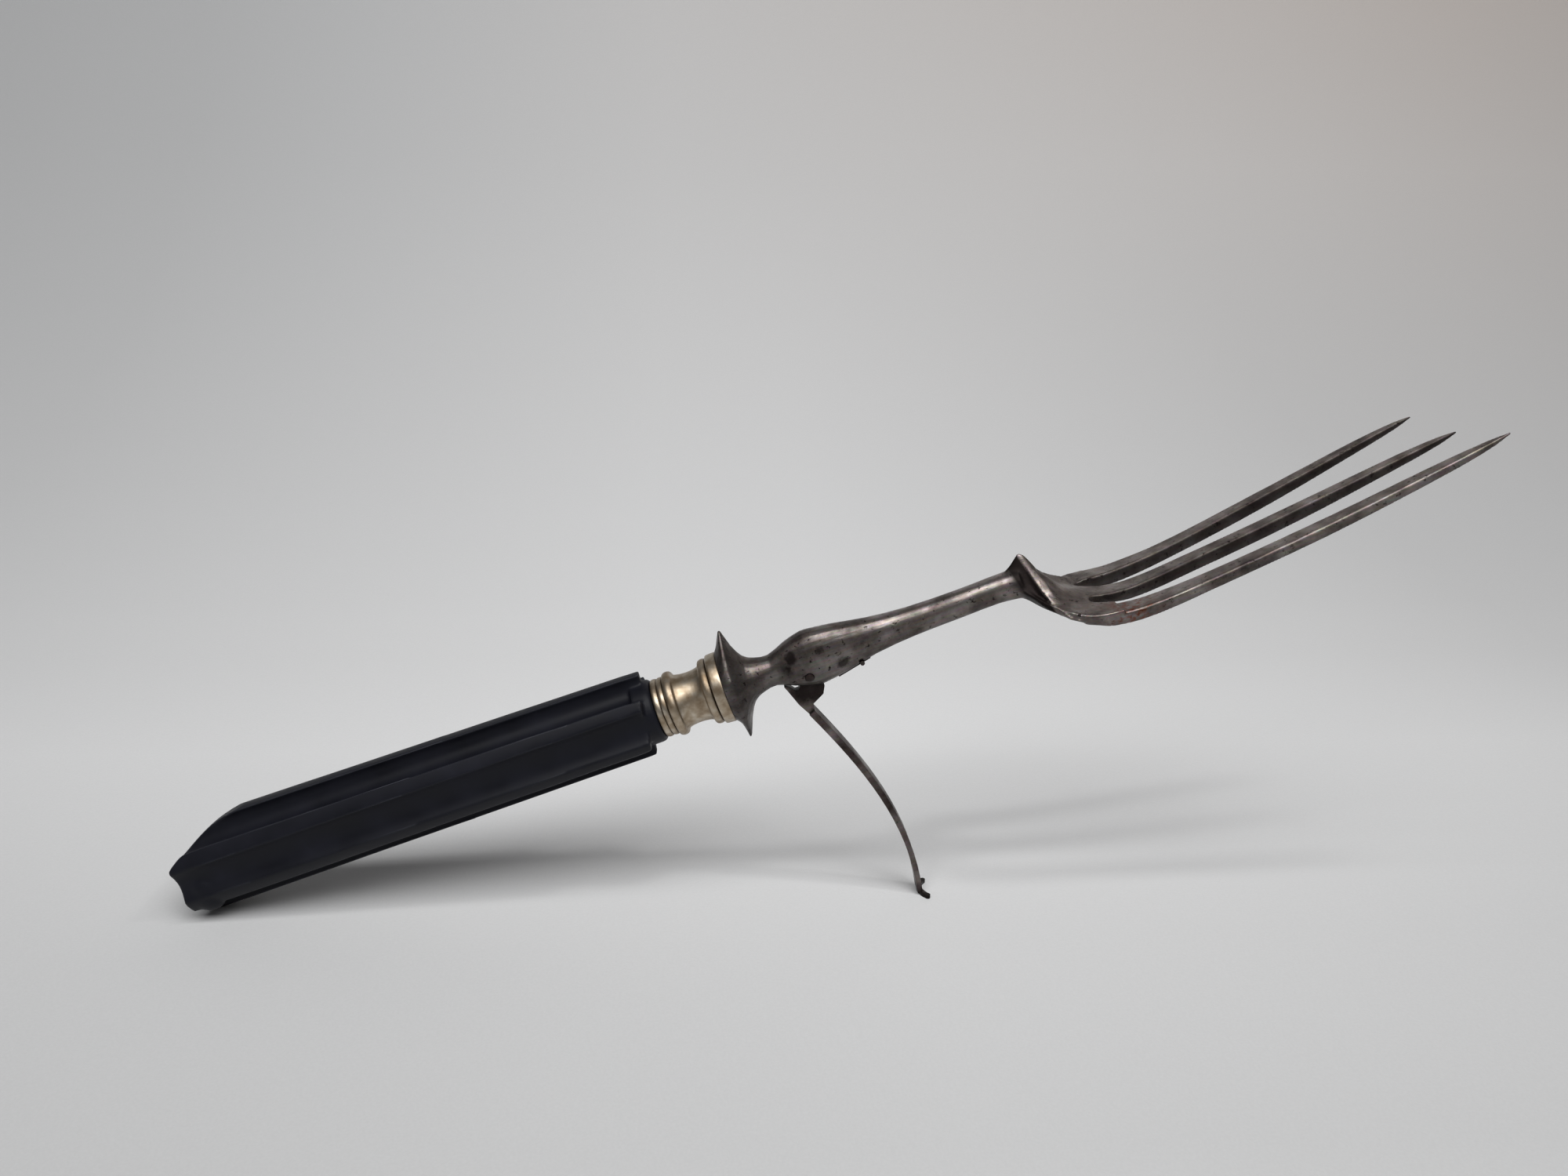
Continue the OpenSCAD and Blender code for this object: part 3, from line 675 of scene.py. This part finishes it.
# %% Nickel silver, turned
nickel, shader, along = new_material("nickel_silver_turned")
turning = add(nickel, "TexWave", {"Vector": along, "Scale": 1 / (2 * math.pi * 0.12 * MM) / 3,
                                  "Distortion": 0.4, "Detail": 1},
              wave_type="BANDS", bands_direction="X")
tarnish = add(nickel, "TexNoise", {"Vector": along, "Scale": 1 / (2.2 * MM), "Detail": 5})
hollow = add(nickel, "AmbientOcclusion", {"Distance": 1.3 * MM}, samples=8)
deep = add(nickel, "MapRange", {"Value": hollow.outputs["AO"], "From Min": 0.95,
                                "From Max": 0.45, "To Min": 0.0, "To Max": 0.95})
skin = add(nickel, "ValToRGB", {"Fac": tarnish.outputs["Fac"]},
           stops=[(0.3, srgb("87755f")), (0.5, srgb("a89985")), (0.72, srgb("c6bcac"))])
colour = add(nickel, "Mix", {0: deep.outputs["Result"], 6: skin.outputs["Color"],
                             7: srgb("453829")}, data_type="RGBA")
dull = add(nickel, "MapRange", {"Value": tarnish.outputs["Fac"], "From Min": 0.3,
                                "From Max": 0.7, "To Min": 0.46, "To Max": 0.34})
rings = add(nickel, "Bump", {"Height": turning.outputs["Fac"], "Strength": 0.12,
                             "Distance": 0.02 * MM})
nickel.node_tree.links.new(colour.outputs[2], shader.inputs["Base Color"])
nickel.node_tree.links.new(dull.outputs["Result"], shader.inputs["Roughness"])
nickel.node_tree.links.new(rings.outputs["Normal"], shader.inputs["Normal"])
shader.inputs["Metallic"].default_value = 1
paint(sleeve, nickel)

# %% [markdown]
# ### Old carbon steel
# Carbon steel that was forged, filed and polished, and has since gone grey-brown. It
# is bright where it is handled, dark and a little rough in the patina, with small
# black pits. The forging, the guard and the fittings are the same steel in other
# states, so one function makes them, with their own colours and amount of pits.


# %% Old steel
def old_steel(name, bright, grey_brown, dark, pits, roughness, rust=0.0, by_place=None):
    material, shader, along = new_material(name)
    patches = add(material, "TexNoise", {"Vector": along, "Scale": 1 / (6 * MM), "Detail": 6,
                                         "Roughness": 0.6})
    skin = add(material, "ValToRGB", {"Fac": patches.outputs["Fac"]},
               stops=[(0.3, srgb(dark)), (0.48, srgb(grey_brown)), (0.7, srgb(bright))])
    filed = add(material, "Mapping", {"Vector": along, "Scale": (0.08, 1, 1)})
    lines = add(material, "TexNoise", {"Vector": filed.outputs["Vector"],
                                       "Scale": 1 / (0.3 * MM), "Detail": 3})
    specks = add(material, "TexNoise", {"Vector": along, "Scale": 1 / (1.1 * MM), "Detail": 3,
                                        "Roughness": 0.65})
    pit = add(material, "MapRange", {"Value": specks.outputs["Fac"], "From Min": 0.70 - 0.1 * pits,
                                     "From Max": 0.80 - 0.1 * pits, "To Min": 0.0, "To Max": 1.0})
    streaked = add(material, "Mix", {0: 0.35, 6: skin.outputs["Color"], 7: lines.outputs["Color"]},
                   data_type="RGBA", blend_type="OVERLAY")
    pitted = add(material, "Mix", {0: pit.outputs["Result"], 6: streaked.outputs[2],
                                   7: srgb("1c1413")}, data_type="RGBA")
    # Grime and black scale stay in the hollows, where neither cloth nor hand comes; the
    # same darkening also paints the shade that falls in the hollows
    hollow = add(material, "AmbientOcclusion", {"Distance": 5 * MM}, samples=8)
    deep = add(material, "MapRange", {"Value": hollow.outputs["AO"], "From Min": 0.86,
                                      "From Max": 0.5, "To Min": 0.0, "To Max": 0.9})
    grime_and_shade = add(material, "Mix", {0: deep.outputs["Result"], 6: pitted.outputs[2],
                                  7: srgb("1a1413")}, data_type="RGBA")
    colour = grime_and_shade.outputs[2]
    crust = None
    if by_place:
        colour, crust = by_place(material, along, colour)
    if rust:
        # Red rust around the root of the near tine, about 6 mm across
        away = add(material, "VectorMath", {0: along, 1: (99 * MM, -11 * MM, -8 * MM)},
                   operation="DISTANCE")
        near = add(material, "MapRange", {"Value": away.outputs["Value"], "From Min": 7 * MM,
                                          "From Max": 2 * MM, "To Min": 0.0, "To Max": rust})
        patch = add(material, "MapRange", {"Value": specks.outputs["Fac"], "From Min": 0.45,
                                           "From Max": 0.6, "To Min": 0.0, "To Max": 1.0})
        amount = add(material, "Math", {0: near.outputs["Result"], 1: patch.outputs["Result"]},
                     operation="MULTIPLY")
        rusted = add(material, "Mix", {0: amount.outputs["Value"], 6: colour, 7: srgb("6e3a26")},
                     data_type="RGBA")
        colour = rusted.outputs[2]
    rough = add(material, "MapRange", {"Value": patches.outputs["Fac"], "From Min": 0.3,
                                       "From Max": 0.7, "To Min": roughness + 0.16,
                                       "To Max": roughness - 0.06})
    depth = add(material, "Math", {0: lines.outputs["Fac"], 1: pit.outputs["Result"]},
                operation="SUBTRACT")
    grain = add(material, "Bump", {"Height": depth.outputs["Value"], "Strength": 0.35,
                                   "Distance": 0.06 * MM})
    if crust:
        matt = add(material, "Math", {0: crust, 1: 0.62}, operation="MULTIPLY")
        rough = add(material, "Math", {0: rough.outputs["Result"], 1: matt.outputs["Value"]},
                    operation="MAXIMUM")
    links = material.node_tree.links
    links.new(colour, shader.inputs["Base Color"])
    links.new(rough.outputs[0], shader.inputs["Roughness"])
    links.new(grain.outputs["Normal"], shader.inputs["Normal"])
    shader.inputs["Metallic"].default_value = 0.9
    return material


def stains(material, along, spots, dark):
    """Ragged dark spots, each a point and a radius in mm, over an amount from 0 to 1."""
    edge = add(material, "TexNoise", {"Vector": along, "Scale": 1 / (1.3 * MM), "Detail": 4})
    ragged = add(material, "VectorMath", {0: edge.outputs["Color"], 1: (2.2 * MM,) * 3,
                                          2: along}, operation="MULTIPLY_ADD")
    ragged = add(material, "VectorMath", {0: ragged.outputs["Vector"], 1: (1.1 * MM,) * 3},
                 operation="SUBTRACT")
    for spot, size in spots:
        away = add(material, "VectorMath", {0: ragged.outputs["Vector"],
                                            1: [v * MM for v in spot]}, operation="DISTANCE")
        spotted = add(material, "MapRange", {"Value": away.outputs["Value"],
                                             "From Min": 1.25 * size * MM,
                                             "From Max": 0.6 * size * MM, "To Max": 0.85})
        dark = add(material, "Math", {0: dark, 1: spotted.outputs["Result"]},
                   operation="MAXIMUM").outputs["Value"]
    return dark


def guard_dark_spots(material, along, colour):
    """Black horns of the foot, and a dark hub and heel."""
    dark = stains(material, along, [((41.1, 3.4, -60.4), 2.0), ((41.1, -3.4, -61.1), 2.0),
                                    ((32.9, -2, -7.6), 3.2), ((30, -2, -6.6), 3.0)], 0.0)
    darkened = add(material, "Mix", {0: dark, 6: colour, 7: srgb("1a1413")}, data_type="RGBA")
    return darkened.outputs[2], dark


def worn_and_shaded_fork(material, along, colour):
    """The forging by place: brighter towards the tines, grime and painted shade behind the
    crown, painted shade on the front sides of the middle and far tine and on faces turned
    down, and four dark spots on the swelling."""
    at = add(material, "SeparateXYZ", {"Vector": along})
    bright = add(material, "ValToRGB", {"Fac": add(material, "MapRange", {
        "Value": at.outputs["X"], "From Min": 0.0, "From Max": 0.18}).outputs["Result"]},
        stops=[(0.08, grey(0.46)), (0.13, grey(0.66)), (0.2, grey(0.68)), (0.32, grey(1.0))])
    lit = add(material, "Mix", {0: 1.0, 6: colour, 7: bright.outputs["Color"]},
              data_type="RGBA", blend_type="MULTIPLY")
    # The slanted line of the rim: in front of it the palm is bright; behind it the steel is
    # painted very dark, for grime and for the shade in the hollow
    rim_line = add(material, "Math", {0: at.outputs["Z"], 1: -0.27, 2: 83.5 * MM},
                   operation="MULTIPLY_ADD")
    beyond = add(material, "Math", {0: at.outputs["X"], 1: rim_line.outputs["Value"]},
                 operation="SUBTRACT")
    rim_grime_and_shade = add(material, "ValToRGB", {"Fac": add(material, "MapRange", {
        "Value": beyond.outputs["Value"], "From Min": -6 * MM, "From Max": 1 * MM}).outputs["Result"]},
        stops=[(0.1, grey(0.0)), (0.4, grey(0.97)), (0.8, grey(0.97)), (0.88, grey(0.0))])
    facing = add(material, "NewGeometry")
    aside = add(material, "SeparateXYZ", {"Vector": facing.outputs["Normal"]})
    # Painted shade: the sides of the middle and far tine that face the front are darkened
    front_flank_shade = add(material, "MapRange", {"Value": aside.outputs["Y"], "From Min": -0.35,
                                       "From Max": -0.75, "To Min": 0.0, "To Max": 0.8})
    not_near = add(material, "MapRange", {"Value": at.outputs["Y"], "From Min": -7.5 * MM,
                                          "From Max": -7 * MM})
    in_front = add(material, "MapRange", {"Value": at.outputs["X"], "From Min": 93 * MM,
                                          "From Max": 97 * MM})
    scale = add(material, "Math", {0: front_flank_shade.outputs["Result"], 1: not_near.outputs["Result"]},
                operation="MULTIPLY")
    scale = add(material, "Math", {0: scale.outputs["Value"], 1: in_front.outputs["Result"]},
                operation="MULTIPLY")
    dark = add(material, "Math", {0: rim_grime_and_shade.outputs["Color"], 1: scale.outputs["Value"]},
               operation="MAXIMUM")
    # Painted shade: faces that turn down are darkened
    painted_underside_shade = add(material, "MapRange", {"Value": aside.outputs["Z"], "From Min": 0.15,
                                       "From Max": -0.6, "To Min": 0.0, "To Max": 0.45})
    dark = add(material, "Math", {0: dark.outputs["Value"], 1: painted_underside_shade.outputs["Result"]},
               operation="MAXIMUM")
    dark = stains(material, along, SPOTS, dark.outputs["Value"])
    darkened = add(material, "Mix", {0: dark, 6: lit.outputs[2],
                                     7: srgb("1a1413")}, data_type="RGBA")
    on_tines = add(material, "MapRange", {"Value": at.outputs["X"], "From Min": 98 * MM,
                                          "From Max": 112 * MM, "To Max": 0.8})
    matt = add(material, "Math", {0: dark, 1: on_tines.outputs["Result"]}, operation="MAXIMUM")
    return darkened.outputs[2], matt.outputs["Value"]


SPOTS = [((30.0, -3.2, 2.4), 1.3), ((29.2, -3.2, 0.1), 1.0),
         ((36.2, -4.2, 2.2), 0.9), ((40.3, -4.2, -2.6), 1.8)]
paint(forging, old_steel("carbon_steel_forged_and_worn", "9c9592", "716965", "403937",
                         pits=1.0, roughness=0.33, rust=0.9, by_place=worn_and_shaded_fork))
paint(prop, old_steel("carbon_steel_filed", "7d7673", "544b49", "322a28",
                      pits=0.8, roughness=0.4, by_place=guard_dark_spots))
paint(rivet, old_steel("mild_steel_pin_hammered", "4c4441", "352d2b", "221b1a",
                       pits=0.6, roughness=0.5))
paint(leaf, old_steel("spring_steel_tempered", "5a5350", "3f3735", "2a2322",
                      pits=0.6, roughness=0.45))
paint(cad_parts["spring_pin"],
      old_steel("mild_steel_wire_pin", "5a5350", "3f3735", "2a2322", pits=0.6, roughness=0.45))

# %% [markdown]
# ### Cutler's cement
# The tang was set in a cement of rosin and brick dust, poured hot. It is hidden, a dull
# red-brown with grains a quarter of a millimetre wide.

# %% Cutler's cement
cement, shader, along = new_material("rosin_cement_cast")
grains = add(cement, "TexNoise", {"Vector": along, "Scale": 1 / (0.25 * MM), "Detail": 3})
skin = add(cement, "ValToRGB", {"Fac": grains.outputs["Fac"]},
           stops=[(0.3, srgb("3c2418")), (0.7, srgb("6d4a33"))])
cement.node_tree.links.new(skin.outputs["Color"], shader.inputs["Base Color"])
shader.inputs["Roughness"].default_value = 0.7
paint(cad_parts["tang_resin"], cement)
print("Materials:", sorted(m.name for m in bpy.data.materials))

# %% [markdown]
# ## Table, light and camera
# The fork was seen in a light tent, on a sheet of pale paper that curves up behind it.
# Most of the light comes from a soft sheet high in front. A small lamp close above the
# tines draws their three thin shadows.

# %% Sheet of paper
SHEET_BACK, SHEET_ROUND, SHEET_HIGH = 0.16, 0.55, 1.5
curve = [(-1.2, 0.0), (SHEET_BACK, 0.0)]
curve += [(SHEET_BACK + SHEET_ROUND * math.sin(a), SHEET_ROUND * (1 - math.cos(a)))
          for a in [math.radians(6 * k) for k in range(1, 16)]]
curve += [(SHEET_BACK + SHEET_ROUND, SHEET_HIGH)]
paper = trace("paper_sheet", [(-2.2, y, z) for y, z in curve])
pick(paper)
bpy.ops.object.mode_set(mode="EDIT")
bpy.ops.mesh.select_all(action="SELECT")
bpy.ops.mesh.extrude_region_move(TRANSFORM_OT_translate={"value": (4.4, 0, 0)})
bpy.ops.mesh.select_all(action="SELECT")
bpy.ops.mesh.normals_make_consistent(inside=False)
bpy.ops.object.mode_set(mode="OBJECT")
bpy.ops.object.shade_smooth_by_angle(angle=math.radians(30))

sheet, shader, along = new_material("paper_matt")
fibres = add(sheet, "TexNoise", {"Vector": along, "Scale": 1 / (0.5 * MM), "Detail": 2})
white = add(sheet, "ValToRGB", {"Fac": fibres.outputs["Fac"]},
            stops=[(0.3, srgb("eaebec")), (0.7, srgb("eeeff0"))])
# Painted shade: the sheet is darker in front of the fork and out to both sides, where
# the light falls off
where = add(sheet, "NewGeometry")
parts = add(sheet, "SeparateXYZ", {"Vector": where.outputs["Position"]})
painted_front_falloff = add(sheet, "ValToRGB", {"Fac": add(sheet, "MapRange", {
    "Value": parts.outputs["Y"], "From Min": -0.12, "From Max": 0.28}).outputs["Result"]},
    stops=[(0.1, grey(0.67)), (0.25, grey(0.75)), (0.5, grey(0.95)), (0.8, grey(1.0))])
left = add(sheet, "MapRange", {"Value": parts.outputs["X"], "From Min": -0.05,
                               "From Max": -0.35, "To Min": 1.0, "To Max": 0.86})
right = add(sheet, "MapRange", {"Value": parts.outputs["X"], "From Min": 0.02,
                                "From Max": 0.3, "To Min": 1.0, "To Max": 0.83})
sides = add(sheet, "Math", {0: left.outputs["Result"], 1: right.outputs["Result"]},
            operation="MULTIPLY")
on_wall = add(sheet, "MapRange", {"Value": parts.outputs["Z"], "From Min": 0.0, "From Max": 0.2})
painted_wall_falloff = add(sheet, "Math", {0: left.outputs["Result"], 1: 0.96}, operation="MULTIPLY")
painted_falloff = add(sheet, "Mix", {0: on_wall.outputs["Result"], 2: sides.outputs["Value"],
                          3: painted_wall_falloff.outputs["Value"]})
both = add(sheet, "Math", {0: painted_front_falloff.outputs["Color"], 1: painted_falloff.outputs[0]},
           operation="MULTIPLY")
tone = add(sheet, "Mix", {0: 1.0, 6: white.outputs["Color"], 7: both.outputs["Value"]},
           data_type="RGBA", blend_type="MULTIPLY")
# and warmer in tone high up on the right
high = add(sheet, "MapRange", {"Value": parts.outputs["Z"], "From Min": 0.02, "From Max": 0.4})
over = add(sheet, "MapRange", {"Value": parts.outputs["X"], "From Min": -0.25, "From Max": 0.5})
yellow = add(sheet, "Math", {0: high.outputs["Result"], 1: over.outputs["Result"]},
             operation="MULTIPLY")
warmer_high_right = add(sheet, "Mix", {0: yellow.outputs["Value"], 6: (1, 1, 1, 1), 7: (1.0, 0.9, 0.83, 1)},
           data_type="RGBA")
warmer_high_right = add(sheet, "Mix", {0: 1.0, 6: tone.outputs[2], 7: warmer_high_right.outputs[2]},
           data_type="RGBA", blend_type="MULTIPLY")
sheet.node_tree.links.new(warmer_high_right.outputs[2], shader.inputs["Base Color"])
shader.inputs["Roughness"].default_value = 0.8
shader.inputs["Specular IOR Level"].default_value = 0.2
paint(paper, sheet)


# %% Lamps
def soft_lamp(name, place, turn, length, width, power, colour):
    """A rectangular soft light that shines down, turned about X and about Z in degrees."""
    lamp = bpy.data.lights.new(name, "AREA")
    lamp.shape = "RECTANGLE"
    lamp.size, lamp.size_y = length, width
    lamp.energy = power
    lamp.color = colour
    holder = bpy.data.objects.new(name, lamp)
    bpy.context.scene.collection.objects.link(holder)
    holder.location = place
    holder.rotation_euler = (math.radians(turn[0]), 0, math.radians(turn[1]))
    return holder


soft_lamp("front_sheet", (0.0, -0.47, 0.83), (29, 0), 1.1, 0.6, 9.6, (1.0, 0.995, 0.99))
soft_lamp("small_lamp", (0.13, -0.072, 0.32), (0, 0), 0.04, 0.02, 0.12, (1.0, 0.99, 0.98))

world = bpy.data.worlds.new("room")
bpy.context.scene.world = world
world.use_nodes = True
room = world.node_tree.nodes["Background"]
room.inputs["Color"].default_value = srgb("e8e8ea")
room.inputs["Strength"].default_value = 0.1

# %% Camera
FOCAL_PX, WIDTH_PX = 1496.87, 2000
camera_data = bpy.data.cameras.new("camera")
camera_data.sensor_width = 36
camera_data.lens = FOCAL_PX / WIDTH_PX * camera_data.sensor_width
camera_data.clip_start = 0.01
camera = bpy.data.objects.new("camera", camera_data)
bpy.context.scene.collection.objects.link(camera)
RIGHT, UP, AHEAD = ((0.99782, -0.06402, 0.01613), (0.00198, 0.27317, 0.96196),
                    (0.06599, 0.95984, -0.27269))
axes = Matrix((RIGHT, UP, [-a for a in AHEAD])).transposed()
camera.matrix_world = (Matrix.Translation((-0.02266, -0.23388, 0.13742))
                       @ axes.to_4x4())
bpy.context.scene.camera = camera
bpy.context.scene.view_settings.view_transform = "Standard"
print("Camera at", [round(v, 4) for v in camera.location], "lens", round(camera_data.lens, 2))
